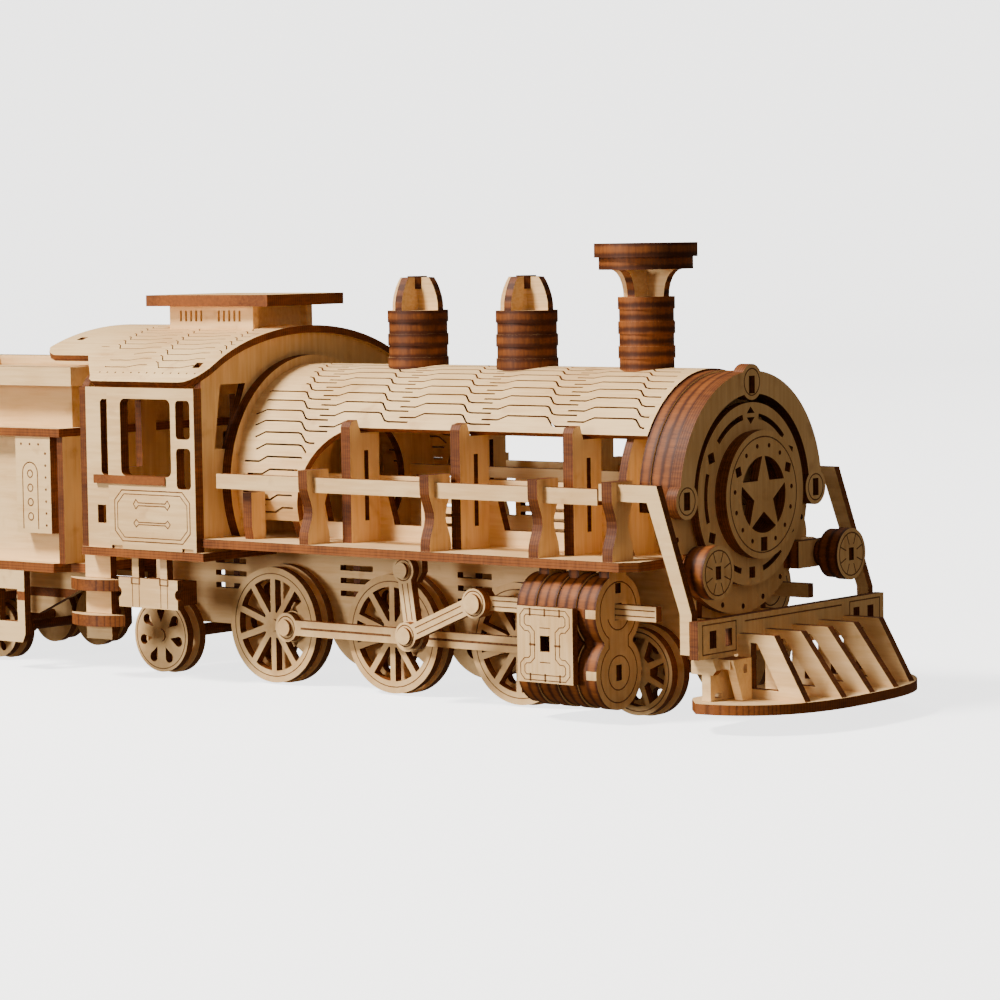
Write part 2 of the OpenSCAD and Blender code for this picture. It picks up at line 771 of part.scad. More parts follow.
module tender_floor() color(stack_colour) in_place() {
    xy(tender_z, beam_t) polygon([
        [tender_rear_x, -tender_half], [-100, -tender_half], [-98, -30], [tender_front_x, -30],
        [tender_front_x, 30], [-98, 30], [-100, tender_half], [tender_rear_x, tender_half]]);
    // eye of the drawbar, under the floor
    xy(tender_z - ply, ply) difference() {
        union() {
            rect(-108, -5, drawbar_x, 5);
            translate([drawbar_x, 0]) circle(5);
        }
        translate([drawbar_x, 0]) circle(pivot_r + fit);
    }
    // rear coupling hook
    xy(tender_z - ply, ply) difference() {
        union() {
            rect(hook_x, -2.4, tender_rear_x + 8, 2.4);
            translate([hook_x, 0]) circle(hook_r);
        }
        translate([hook_x, 0]) circle(1.5);
    }
}

body_z = tender_z + beam_t;
panel_len = 12;
panel_low = 34;
panel_front_x = -100.3;
module tender_sides() color(face_colour) in_place() both_sides() {
    xz(-tender_wall_y, ply) rect(tender_rear_x, body_z, bulkhead_x, ledge_z);
    // riveted box at each end of the side
    for (x = [tender_rear_x, panel_front_x - panel_len]) {
        xz(-tender_half, ply) rect(x, panel_low, x + panel_len, ledge_z);
        for (e = [x, x + panel_len - ply]) yz(e, ply)
            rect(-tender_half + ply, panel_low, -tender_wall_y, ledge_z);
    }
}

module tender_ends() color(face_colour) in_place() {
    yz(tender_rear_x, ply)
        rect(-tender_wall_y + ply, body_z, tender_wall_y - ply, ledge_z);
    yz(bulkhead_x, ply) difference() {
        rect(-33.4, body_z, 33.4, ledge_z);
        for (s = [0, 1]) mirror([s, 0]) {
            polygon([[-27.4, 48], [-27.4, 56], [-22.4, 56], [-22.4, 50.6]]);
            polygon([[-27.4, 41.4], [-27.4, 46.2], [-22.4, 48.8], [-22.4, 44]]);
            polygon([[-27.4, 34.4], [-27.4, 39.6], [-22.4, 42.2], [-22.4, 34.4]]);
        }
    }
}

deck_top_z = ledge_z + ply;
rim_low_z = tender_top_z - ply;
hopper_rear_x = tender_rear_x + 6;
module tender_deck() color(stack_colour) in_place() xy(ledge_z, ply)
    rect(tender_rear_x, -tender_half - 0.5, bulkhead_x + ply, tender_half + 0.5);

// Inner walls that hold the coal, set in from the rim
module tender_hopper() color(dark_colour) in_place() {
    both_sides() xz(-hopper_y, ply) rect(hopper_rear_x, deck_top_z, bulkhead_x, rim_low_z);
    for (x = [hopper_rear_x, bulkhead_x - ply]) yz(x, ply)
        rect(-hopper_y + ply, deck_top_z, hopper_y - ply, rim_low_z);
}

module tender_rim() color(face_colour) in_place() {
    edge = tender_half - ply;
    both_sides() xz(-tender_half, ply) rect(tender_rear_x, rim_z, tender_front_x, tender_top_z);
    for (x = [tender_rear_x, tender_front_x - ply]) yz(x, ply) rect(-edge, rim_z, edge, tender_top_z);
    xy(rim_low_z, ply) difference() {
        rect(tender_rear_x + ply, -edge, tender_front_x - ply, edge);
        rect(hopper_rear_x + ply, -hopper_y + ply, bulkhead_x - ply, hopper_y - ply);
    }
}

module tender_underframe() color(dark_colour) in_place() {
    for (x = bogie_x) xy(17.4, ply) difference() {
        rect(x - 8, -12, x + 8, 12);
        translate([x, 0]) circle(pivot_r + fit);
    }
    both_sides() {
        xz(-10, ply) rect(-187, 17.4 + ply, -110, tender_z);
        xz(-24, ply) polygon([[-124, tender_z], [-98, tender_z], [-98, 21], [-116, 13], [-124, 13]]);
        // hanging step behind the cab
        xz(-tender_half, ply) difference() {
            polygon([[-122, tender_z], [-110.5, tender_z], [-110.5, 9], [-111.5, 7], [-121, 7], [-122, 9]]);
            rect(-119.5, 12, -113, 20);
        }
    }
}

module bogie(x) color(stack_colour) in_place() translate([x, 0, 0]) {
    top = 15.2;
    xy(top, ply) rect(-11.5, -bogie_side_y, 11.5, bogie_side_y);
    translate([0, 0, top + ply]) cylinder(r = pivot_r, h = 3);
    both_sides() xz(-bogie_side_y, ply) difference() {
        polygon([[-11.5, top], [11.5, top], [11.5, 5], [10, 3.5], [6, 3.5], [3.5, 9], [-3.5, 9],
            [-6, 3.5], [-10, 3.5], [-11.5, 5]]);
        for (s = [-1, 1]) translate([s * bogie_half_base, tender_wheel_r]) circle(bogie_axle_r + fit);
    }
}
module bogie_front() bogie(bogie_x[0]);
module bogie_rear() bogie(bogie_x[1]);

// Wheelsets are numbered from the front; two run in each bogie
module tender_wheelset(n) color(face_colour) in_place()
    translate([bogie_x[floor((n - 1) / 2)] + (n % 2 == 1 ? 1 : -1) * bogie_half_base, 0, tender_wheel_r]) {
        both_sides() {
            xz(-wheel_y, ply) small_face2d(tender_wheel_r, bogie_axle_r, 7, true);
            annulus_y(-wheel_y + ply, wheel_y - flange_y - ply, 2.4, bogie_axle_r);
            annulus_y(-flange_y, ply, tender_wheel_r, bogie_axle_r);
        }
        translate([0, bogie_side_y + 0.4, 0]) rotate([90, 0, 0])
            cylinder(r = bogie_axle_r, h = 2 * bogie_side_y + 0.8);
    }
module tender_wheelset_1() tender_wheelset(1);
module tender_wheelset_2() tender_wheelset(2);
module tender_wheelset_3() tender_wheelset(3);
module tender_wheelset_4() tender_wheelset(4);

// ---------- drawing ----------

chassis_sides();
chassis_crossbars();
running_board();
boiler_sides();
boiler_ribs();
boiler_formers();
boiler_skin();
smokebox_rings();
smokebox_arch();
smokebox_plate();
smokebox_saddle();
smokebox_door();
headlamps();
chimney();
dome_front();
dome_rear();
handrail_posts();
handrails();
front_braces();
cab_floor();
cab_sides();
cab_front_wall();
cab_rear_wall();
cab_roof();
roof_hatch();
cab_steps();
tool_boxes();
cylinder_right();
cylinder_left();
link_hangers();
buffer_beam();
pilot_base();
pilot_slats();
loco_drawbar();
driver_rear();
driver_middle();
driver_front();
leading_wheelset();
trailing_wheelset();
coupling_rod_right();
coupling_rod_left();
link_arm_right();
link_arm_left();
diagonal_rod_right();
diagonal_rod_left();
piston_rod_right();
piston_rod_left();
tender_floor();
tender_sides();
tender_ends();
tender_deck();
tender_hopper();
tender_rim();
tender_underframe();
bogie_front();
bogie_rear();
tender_wheelset_1();
tender_wheelset_2();
tender_wheelset_3();
tender_wheelset_4();
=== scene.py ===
import math

import bpy
import numpy as np
from mathutils import Matrix, Vector
from mathutils.geometry import delaunay_2d_cdt


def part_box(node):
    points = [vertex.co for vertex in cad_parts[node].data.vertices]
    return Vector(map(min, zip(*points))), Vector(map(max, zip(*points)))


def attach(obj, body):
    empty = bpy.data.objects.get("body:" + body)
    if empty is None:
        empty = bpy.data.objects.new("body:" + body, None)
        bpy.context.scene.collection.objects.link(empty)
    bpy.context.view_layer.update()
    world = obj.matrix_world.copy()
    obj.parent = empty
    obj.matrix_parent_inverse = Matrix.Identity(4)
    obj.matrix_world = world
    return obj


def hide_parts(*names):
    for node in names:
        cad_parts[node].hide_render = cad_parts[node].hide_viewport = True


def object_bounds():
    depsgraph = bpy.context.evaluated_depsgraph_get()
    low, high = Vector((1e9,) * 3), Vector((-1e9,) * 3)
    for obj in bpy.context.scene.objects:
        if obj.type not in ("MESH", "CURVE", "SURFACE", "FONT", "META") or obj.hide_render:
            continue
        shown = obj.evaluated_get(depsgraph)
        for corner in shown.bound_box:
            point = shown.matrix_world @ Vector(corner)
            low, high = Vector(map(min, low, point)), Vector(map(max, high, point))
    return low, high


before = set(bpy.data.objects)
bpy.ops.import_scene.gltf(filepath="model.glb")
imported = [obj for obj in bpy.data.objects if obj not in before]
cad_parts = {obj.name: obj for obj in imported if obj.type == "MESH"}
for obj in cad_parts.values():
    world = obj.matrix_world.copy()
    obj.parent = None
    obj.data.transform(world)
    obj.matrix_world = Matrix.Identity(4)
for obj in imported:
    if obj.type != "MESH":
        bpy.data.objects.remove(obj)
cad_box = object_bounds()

MM = 0.001
NOSE_X = 112.5      # front end of the model in the drawing's own x, mm
SHIFT = cad_box[1].x / MM - NOSE_X  # from the drawing's own x to the model's
PLY = 2.0           # plate thickness, mm
STACK = 2.7         # thickness of the stacked plates, mm
SKIN = 1.8          # thickness of the bent sheets, mm
DOME_RING_Z = 87.2  # top of the rings round a dome, mm
BOILER_DROP = 28.1  # from the top of the smokebox's arch down to the boiler's axis, mm
DRIVER_RIM = 12.1   # radius of the line scribed round a driving wheel's rim, mm
LEADING_RIM = 8.6
TRAILING_RIM = 8.1
LINK_Y = 29.6       # outer face of the valve gear's arms, mm
WHEEL_Y = 20.0      # outer face of the wheels, mm
ALL_ABOVE = 99      # a height above every piece that a zone covers, mm


# ---------- camera, lights and floor ----------

def make_camera():
    """The eye is the photographer's place, in mm; heading, pitch and roll are in degrees."""
    eye = Vector((552.4, -614.7, 103.0)) * MM
    heading, pitch, roll = (math.radians(a) for a in (39.083, 4.273, -0.9))
    ahead = Vector((-math.sin(heading) * math.cos(pitch), math.cos(heading) * math.cos(pitch),
                    -math.sin(pitch)))
    right = Vector((math.cos(heading), math.sin(heading), 0))
    up = right.cross(ahead)
    r2 = math.cos(roll) * right + math.sin(roll) * up
    u2 = -math.sin(roll) * right + math.cos(roll) * up
    data = bpy.data.cameras.new("camera")
    data.lens = 125.05
    data.sensor_width = 36
    data.clip_start = 0.01
    data.clip_end = 20
    camera = bpy.data.objects.new("camera", data)
    camera.matrix_world = Matrix((
        (r2.x, u2.x, -ahead.x, eye.x), (r2.y, u2.y, -ahead.y, eye.y),
        (r2.z, u2.z, -ahead.z, eye.z), (0, 0, 0, 1)))
    bpy.context.scene.collection.objects.link(camera)
    bpy.context.scene.camera = camera


def area_light(name, place, target, size, watts, colour):
    data = bpy.data.lights.new(name, "AREA")
    data.energy = watts
    data.size = size
    data.color = colour
    lamp = bpy.data.objects.new(name, data)
    lamp.location = place
    lamp.rotation_euler = (Vector(target) - Vector(place)).to_track_quat("-Z", "Y").to_euler()
    bpy.context.scene.collection.objects.link(lamp)


def make_studio():
    centre = (0, 0, 0.045)
    area_light("key", (-0.47, -0.88, 1.12), centre, 0.30, 44, (1.0, 0.965, 0.91))
    area_light("side", (-0.50, -1.25, 0.20), centre, 0.30, 10, (1.0, 0.95, 0.87))
    area_light("fill", (0.95, -0.75, 0.30), centre, 0.7, 1.4, (1.0, 0.88, 0.70))
    area_light("wall_glow", (-0.4, 0.9, 1.9), (-1.9, 2.1, 0.3), 1.6, 24, (1.0, 1.0, 1.0))
    world = bpy.data.worlds.new("studio")
    bpy.context.scene.world = world
    world.use_nodes = True
    background = world.node_tree.nodes["Background"]
    background.inputs["Color"].default_value = (1.0, 0.80, 0.58, 1)
    background.inputs["Strength"].default_value = 0.13

    # floor that curves up into a wall behind the model
    paint = Graph("floor_paint")
    speck = paint.noise(paint.place(), (60, 60, 60), detail=3)
    paint.surface(paint.blend(speck, (0.88, 0.88, 0.88), (0.92, 0.92, 0.92)), roughness=0.75,
                  glow=2.6)
    away, across = Vector((-0.63, 0.776, 0)), Vector((0.776, 0.63, 0))
    cove, wall_at, floor_z = 0.6, 2.6, -0.00002
    profile = [(-4.0, 0.0), (-1.0, 0.0)]
    profile += [(wall_at - cove + cove * math.sin(math.radians(a)),
                 cove - cove * math.cos(math.radians(a))) for a in range(0, 91, 6)]
    profile += [(wall_at, 3.5)]
    points = [away * d + across * side + Vector((0, 0, z + floor_z))
              for d, z in profile for side in (-4.0, 4.0)]
    mesh = bpy.data.meshes.new("studio_floor")
    mesh.from_pydata(points, [], [(2 * i, 2 * i + 1, 2 * i + 3, 2 * i + 2)
                                  for i in range(len(profile) - 1)])
    mesh.shade_smooth()
    mesh.materials.append(paint.material)
    floor = bpy.data.objects.new("studio_floor", mesh)
    bpy.context.scene.collection.objects.link(floor)
    # diffuse and glossy rays from the model don't meet the floor
    floor.visible_diffuse = False
    floor.visible_glossy = False


# ---------- materials ----------

class Graph:
    """A material's node tree, with short calls for the nodes used here."""

    def __init__(self, name):
        self.material = bpy.data.materials.new(name)
        self.material.use_nodes = True
        self.tree = self.material.node_tree
        self.tree.nodes.clear()
        self.coords = self.tree.nodes.new("ShaderNodeTexCoord")

    def put(self, value, socket):
        if isinstance(value, bpy.types.NodeSocket):
            self.tree.links.new(value, socket)
        elif isinstance(value, tuple) and len(value) == 3 and len(socket.default_value) == 4:
            socket.default_value = (*value, 1)
        else:
            socket.default_value = value

    def place(self):
        return self.coords.outputs["Object"]

    def normal(self):
        return self.coords.outputs["Normal"]

    def maths(self, kind, a, b=0.0, c=0.0):
        node = self.tree.nodes.new("ShaderNodeMath")
        node.operation = kind
        for value, socket in zip((a, b, c), node.inputs):
            self.put(value, socket)
        return node.outputs[0]

    def parts(self, vector):
        node = self.tree.nodes.new("ShaderNodeSeparateXYZ")
        self.put(vector, node.inputs[0])
        return node.outputs[0], node.outputs[1], node.outputs[2]

    def vector(self, kind, a, b):
        node = self.tree.nodes.new("ShaderNodeVectorMath")
        node.operation = kind
        self.put(a, node.inputs[0])
        self.put(b, node.inputs[1])
        return node.outputs[0]

    def ramp(self, value, low, high, to_low=0.0, to_high=1.0):
        node = self.tree.nodes.new("ShaderNodeMapRange")
        node.interpolation_type = "SMOOTHSTEP"
        for key, v in (("Value", value), ("From Min", low), ("From Max", high),
                       ("To Min", to_low), ("To Max", to_high)):
            self.put(v, node.inputs[key])
        return node.outputs[0]

    def noise(self, vector, scale, detail=2.0, rough=0.5):
        node = self.tree.nodes.new("ShaderNodeTexNoise")
        self.put(self.vector("MULTIPLY", vector, scale), node.inputs["Vector"])
        node.inputs["Scale"].default_value = 1.0
        node.inputs["Detail"].default_value = detail
        node.inputs["Roughness"].default_value = rough
        return node.outputs["Fac"]

    def blend(self, factor, a, b):
        node = self.tree.nodes.new("ShaderNodeMix")
        node.data_type = "RGBA"
        self.put(factor, node.inputs["Factor"])
        self.put(a, node.inputs["A"])
        self.put(b, node.inputs["B"])
        return node.outputs["Result"]

    def bump(self, height, distance, strength=1.0):
        node = self.tree.nodes.new("ShaderNodeBump")
        self.put(height, node.inputs["Height"])
        node.inputs["Distance"].default_value = distance
        node.inputs["Strength"].default_value = strength
        return node.outputs["Normal"]

    def surface(self, colour, roughness=0.6, normal=None, glow=0.0):
        shader = self.tree.nodes.new("ShaderNodeBsdfPrincipled")
        output = self.tree.nodes.new("ShaderNodeOutputMaterial")
        self.put(colour, shader.inputs["Base Color"])
        self.put(roughness, shader.inputs["Roughness"])
        shader.inputs["Specular IOR Level"].default_value = 0.25
        shader.inputs["Emission Color"].default_value = (1, 1, 1, 1)
        shader.inputs["Emission Strength"].default_value = glow
        if normal is not None:
            self.put(normal, shader.inputs["Normal"])
        self.tree.links.new(shader.outputs[0], output.inputs[0])


AXES = {"X": 0, "Y": 1, "Z": 2}
CROSS_HALF = PLY / 2 + 0.05         # half a crossing plate and a hair more, mm
VENEER = PLY * MM / 3               # each plate has three layers
# grain runs along the plate's long direction
GRAIN = {"X": (1500, 900, 60), "Y": (70, 1500, 900), "Z": (70, 900, 1500)}
CREAM = (0.90, 0.61, 0.30)
TAN = (0.68, 0.40, 0.16)
SCORCH = (0.30, 0.088, 0.015)
CHAR = (0.060, 0.014, 0.003)


def plywood(name, axis, burn=0.5, zones=(), pitch=None, offset=0.0, grain=None, tan_and_shade=0.0,
            crossings=()):
    """Pale birch on the plate's faces and laser-burnt layers on its edges.

    axis is the plate's normal, or XY where plates of both kinds meet; each zone gives another
    axis between two heights in mm, or between two distances along the axis it names, and
    CROSS means two plates that cross at each x in crossings.
    pitch and offset, in mm, place the joints of a stack. burn darkens the edges, and the face-tone
    argument turns the faces darker and more tan, which on the front-facing plates is painted shade;
    grain gives the fibre's scale along each axis."""
    g = Graph(name)
    place, normal = g.place(), g.normal()
    facing = [g.maths("ABSOLUTE", n) for n in g.parts(normal)]
    coordinate = g.parts(place)

    def squareness(a):
        if a in ("ALL", "NONE"):
            return g.maths("ADD", 1.0 if a == "ALL" else 0.0, 0.0)
        if a == "CROSS":
            near = [g.maths("ABSOLUTE", g.maths("SUBTRACT", coordinate[0], x * MM)) for x in crossings]
            aside = near[0]
            for other_side in near[1:]:
                aside = g.maths("MINIMUM", aside, other_side)
            on_x = g.maths("LESS_THAN", aside, CROSS_HALF * MM)
            on_y = g.maths("LESS_THAN", g.maths("ABSOLUTE", coordinate[1]), CROSS_HALF * MM)
            return g.maths("MAXIMUM", g.maths("MULTIPLY", facing[0], on_x),
                           g.maths("MULTIPLY", facing[1], on_y))
        return g.maths("MAXIMUM", facing[0], facing[1]) if a == "XY" else facing[AXES[a]]

    square = squareness(axis)
    for other, low, high, *measured in zones:
        distance = coordinate[AXES[measured[0]]] if measured else coordinate[2]
        if measured == ["Y"]:
            distance = g.maths("ABSOLUTE", distance)
        above = g.maths("GREATER_THAN", distance, low * MM)
        below = g.maths("LESS_THAN", distance, high * MM)
        inside = g.maths("MULTIPLY", above, below)
        gap = g.maths("SUBTRACT", squareness(other), square)
        square = g.maths("MULTIPLY_ADD", gap, inside, square)
    is_face = g.ramp(square, 0.80, 0.95)

    # faces: long soft grain, fine pores and a few darker flecks
    main = axis if axis in AXES else "Y"
    fibre = g.noise(place, grain or GRAIN[main], detail=4, rough=0.6)
    cloud = g.noise(place, (45, 45, 45), detail=2)
    tone = g.maths("MULTIPLY_ADD", cloud, 0.55, g.maths("MULTIPLY", fibre, 0.55))
    # the faces lean toward TAN by the face-tone argument: on the front-facing plates this darker tone
    # is painted shade, elsewhere it is the wood's own tone
    face = g.blend(g.ramp(tone, 0.40, 0.72, tan_and_shade, min(1.0, 0.75 + tan_and_shade)), CREAM, TAN)
    scorched = g.noise(place, (160, 160, 160), detail=3)
    face = g.blend(g.ramp(scorched, 0.60, 0.80, 0, 0.35), face, SCORCH)

    # edges: charred rims, layers of veneer and streaks left by the beam
    along = coordinate[AXES[main]]
    streak_scale = [1500.0, 1500.0, 1500.0]
    streak_scale[AXES[main]] = 200.0
    streak = g.noise(place, tuple(streak_scale), detail=3, rough=0.65)
    patch = g.noise(place, (110, 110, 110), detail=2)
    layer = g.maths("FRACT", g.maths("MULTIPLY_ADD", along, 1 / VENEER, 0.37))
    layer = g.maths("ABSOLUTE", g.maths("SUBTRACT", layer, 0.5))
    heat = g.maths("MULTIPLY", streak, 0.55)
    heat = g.maths("ADD", heat, g.maths("MULTIPLY", patch, 0.55))
    if pitch:
        wobble = g.maths("MULTIPLY_ADD", g.noise(place, (260, 260, 260)), 0.16, -0.08 - offset / pitch)
        joint = g.maths("FRACT", g.maths("MULTIPLY_ADD", along, 1 / (pitch * MM), wobble))
        joint = g.maths("ABSOLUTE", g.maths("SUBTRACT", joint, 0.5))
        heat = g.maths("MULTIPLY_ADD", g.ramp(joint, 0.12, 0.5), 0.45, g.maths("ADD", heat, -0.06))
    else:
        heat = g.maths("MULTIPLY_ADD", g.ramp(layer, 0.30, 0.48), 0.22, heat)
    char_from = 0.45 - 0.45 * burn
    char_full = 1.20 - 0.45 * burn
    edge = g.blend(g.ramp(heat, char_from, char_full), SCORCH, CHAR)

    height = g.maths("MULTIPLY", g.maths("SUBTRACT", 1.0, is_face), g.maths("MULTIPLY", heat, -1.0))
    height = g.maths("MULTIPLY_ADD", fibre, 0.15, height)
    g.surface(g.blend(is_face, edge, face), roughness=0.55, normal=g.bump(height, 0.00012, 0.7))
    return g.material


def burnt_line(name):
    """The bottom of an engraved line."""
    g = Graph(name)
    char = g.noise(g.place(), (900, 900, 900), detail=3)
    g.surface(g.blend(g.ramp(char, 0.35, 0.7), (0.20, 0.085, 0.03), (0.10, 0.036, 0.012)), 0.8,
              g.bump(char, 0.00005))
    return g.material


# ---------- mesh helpers; plane outlines are lists of (u, v) in mm ----------

def build(name, points, faces, materials, body, smooth_angle=None, walls_from=None):
    """A piece of its own. Faces from number walls_from on take the second material."""
    mesh = bpy.data.meshes.new(name)
    mesh.from_pydata([tuple(c * MM for c in p) for p in points], [], faces)
    for material in materials:
        mesh.materials.append(material)
    if walls_from is not None:
        for polygon in mesh.polygons[walls_from:]:
            polygon.material_index = 1
    if smooth_angle is not None:
        mesh.shade_smooth()
        mesh.set_sharp_from_angle(angle=math.radians(smooth_angle))
    piece = bpy.data.objects.new(name, mesh)
    bpy.context.scene.collection.objects.link(piece)
    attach(piece, body)
    return piece


def thick_path(points, width, closed=False):
    """Left and right edges of a line of the given width, with mitred corners."""
    p = np.array(points, float)
    n = len(p)
    left, right = [], []
    for i in range(n):
        before = p[i] - p[i - 1] if (i > 0 or closed) else p[1] - p[0]
        after = p[(i + 1) % n] - p[i] if (i < n - 1 or closed) else p[-1] - p[-2]
        before = before / np.linalg.norm(before)
        after = after / np.linalg.norm(after)
        middle = before + after
        middle = middle / max(np.linalg.norm(middle), 1e-9)
        normal = np.array([-middle[1], middle[0]])
        stretch = 1 / max(0.5, float(normal @ np.array([-after[1], after[0]])))
        left.append(tuple(p[i] + normal * stretch * width / 2))
        right.append(tuple(p[i] - normal * stretch * width / 2))
    return left, right


def inside(points, loop):
    """Even-odd test of many points against one closed loop."""
    x, y = points[:, 0], points[:, 1]
    result = np.zeros(len(points), bool)
    a = np.array(loop, float)
    b = np.roll(a, -1, axis=0)
    for (x0, y0), (x1, y1) in zip(a, b):
        if y0 == y1:
            continue
        crosses = ((y0 > y) != (y1 > y)) & (x < (x1 - x0) * (y - y0) / (y1 - y0) + x0)
        result ^= crosses
    return result


def bent_sheet(name, outline, holes, bends, place, depth, materials, body):
    """A sheet with real cut-outs. place(u, v, depth) gives the bent position of a flat point."""
    points, edges = [], []

    def add_loop(loop):
        first = len(points)
        points.extend(Vector(p) for p in loop)
        edges.extend((first + i, first + (i + 1) % len(loop)) for i in range(len(loop)))

    add_loop(outline)
    for hole in holes:
        add_loop(hole)
    for start, end in bends:
        points.extend((Vector(start), Vector(end)))
        edges.append((len(points) - 2, len(points) - 1))
    flat, _, triangles, *_ = delaunay_2d_cdt(points, edges, [], 0, 1e-4)
    flat = np.array([tuple(v) for v in flat])
    triangles = np.array([t for t in triangles if len(t) == 3])
    centres = flat[triangles].mean(axis=1)
    keep = inside(centres, outline)
    for hole in holes:
        h = np.array(hole)
        near = np.all((centres > h.min(0)) & (centres < h.max(0)), axis=1) & keep
        index = np.flatnonzero(near)
        if len(index):
            keep[index[inside(centres[index], hole)]] = False
    a, b, c = (flat[triangles[:, i]] for i in range(3))
    area = (b[:, 0] - a[:, 0]) * (c[:, 1] - a[:, 1]) - (b[:, 1] - a[:, 1]) * (c[:, 0] - a[:, 0])
    keep &= np.abs(area) > 1e-7
    triangles = triangles[keep]
    turned = area[keep] < 0
    triangles[turned] = triangles[turned][:, ::-1]
    used, triangles = np.unique(triangles, return_inverse=True)
    triangles = triangles.reshape(-1, 3)
    flat = flat[used]
    count = len(flat)
    outer = [place(u, v, 0.0) for u, v in flat]
    inner = [place(u, v, depth) for u, v in flat]
    faces = [tuple(int(i) for i in t) for t in triangles]
    faces += [tuple(int(i) + count for i in t[::-1]) for t in triangles]
    borders = {}
    for t in triangles:
        for i in range(3):
            edge = (int(t[i]), int(t[(i + 1) % 3]))
            if (edge[1], edge[0]) in borders:
                del borders[(edge[1], edge[0])]
            else:
                borders[edge] = True
    faces += [(i, i + count, j + count, j) for i, j in borders]
    return build(name, outer + inner, faces, materials, body, smooth_angle=35,
                 walls_from=2 * len(triangles))


STEP = 0.4          # distance between the points that are tried along a path, mm
SHORTEST = 2.5      # shorter stretches of slot are left out, mm
SAME_PLACE = 1e-3   # points closer than this are one point, mm


def clip_paths(path, ok):
    """The stretches of a path, resampled finely, on which ok(u, v) holds."""
    stretches, run = [], []
    for (u0, v0), (u1, v1) in zip(path, path[1:]):
        steps = max(1, int(math.hypot(u1 - u0, v1 - v0) / STEP))
        for i in range(steps + 1):
            t = i / steps
            point = (u0 + (u1 - u0) * t, v0 + (v1 - v0) * t)
            corner = i in (0, steps)
            if ok(*point):
                if not run or corner or run[-1][1]:
                    run.append((point, corner))
                else:
                    run[-1] = (point, corner)
            elif run:
                stretches.append(run)
                run = []
    if run:
        stretches.append(run)
    result = []
    for run in stretches:
        clean = [run[0][0]]
        for point, _ in run[1:]:
            if math.dist(point, clean[-1]) > SAME_PLACE:
                clean.append(point)
        length = sum(math.dist(a, b) for a, b in zip(clean, clean[1:]))
        if len(clean) > 1 and length > SHORTEST:
            result.append(clean)
    return result


def slot_loop(path, width):
    left, right = thick_path(path, width)
    return left + right[::-1]


# ---------- engraved lines ----------

RAISE = 0.03        # a line's top above its plate, mm
SINK = 0.10         # a line's bottom below the plate's surface, mm
HAIR = 0.20         # widths of engraved lines, from the finest to a short bar, mm
FINE = 0.22
THIN = 0.24
LINE = 0.26
BROAD = 0.28
BOLD = 0.30
BAR = 0.45
GROOVE = 0.50


def ring(u, v, r, start=0, end=360, step=15):
    return [(u + r * math.cos(math.radians(a)), v + r * math.sin(math.radians(a)))
            for a in range(start, end + (0 if end - start == 360 else step // abs(step)), step)]


def closed_line(path, width=LINE):
    return (path, width, True)


def open_line(path, width=LINE):
    return (path, width, False)


def dot(u, v, r=0.16):
    return closed_line(ring(u, v, r, step=60), 2 * r)


def engrave(name, lines, view, level, body, material):
    """Thin burnt lines on a flat face. Each line is (path, width, closed) in the face's own
    plane: x and z on a side, y and z on a front, x and y on a top."""
    spots = {"right": lambda u, v, h: (u, -level - h, v), "left": lambda u, v, h: (u, level + h, v),
             "front": lambda u, v, h: (level + h, u, v), "top": lambda u, v, h: (u, v, level + h)}
    spot = spots[view]
    points, faces = [], []
    for path, width, closed in lines:
        left, right = thick_path(path, width, closed)
        first, n = len(points), len(left)
        for a, b in zip(left, right):
            points += [spot(*a, RAISE), spot(*b, RAISE), spot(*b, -SINK), spot(*a, -SINK)]
        for i in range(n if closed else n - 1):
            a, b = first + 4 * i, first + 4 * ((i + 1) % n)
            faces += [(a + k, a + (k + 1) % 4, b + (k + 1) % 4, b + k) for k in range(4)]
        if not closed:
            faces += [(first, first + 3, first + 2, first + 1),
                      tuple(first + 4 * (n - 1) + k for k in range(4))]
    if view in ("left", "top"):
        faces = [f[::-1] for f in faces]
    return build(name, points, faces, [material], body)


# ---------- bent skins with their cut slots ----------

SLOT = 0.42         # width of a laser-cut slot, mm


def wave(u0, v0, period, pitch):
    """One slot of the bending pattern: a low end, a long high stretch and a step down."""
    shape = ((0.0, 0.0), (0.19, 0.0), (0.29, 0.40), (0.72, 0.40), (0.76, 0.32), (0.84, -0.32),
             (0.89, -0.42), (1.13, -0.42))
    return [(u0 + a * period, v0 + b * pitch) for a, b in shape]


def bend_lines(rear, front, gap, count):
    """Straight lines along the sheet, a little longer than it, where its facets meet."""
    beyond = 1
    return [((rear - beyond, k * gap), (front + beyond, k * gap)) for k in range(-count, count + 1)]


def square_hole(x, v, w):
    return [(x - w, v - w), (x + w, v - w), (x + w, v + w), (x - w, v + w)]


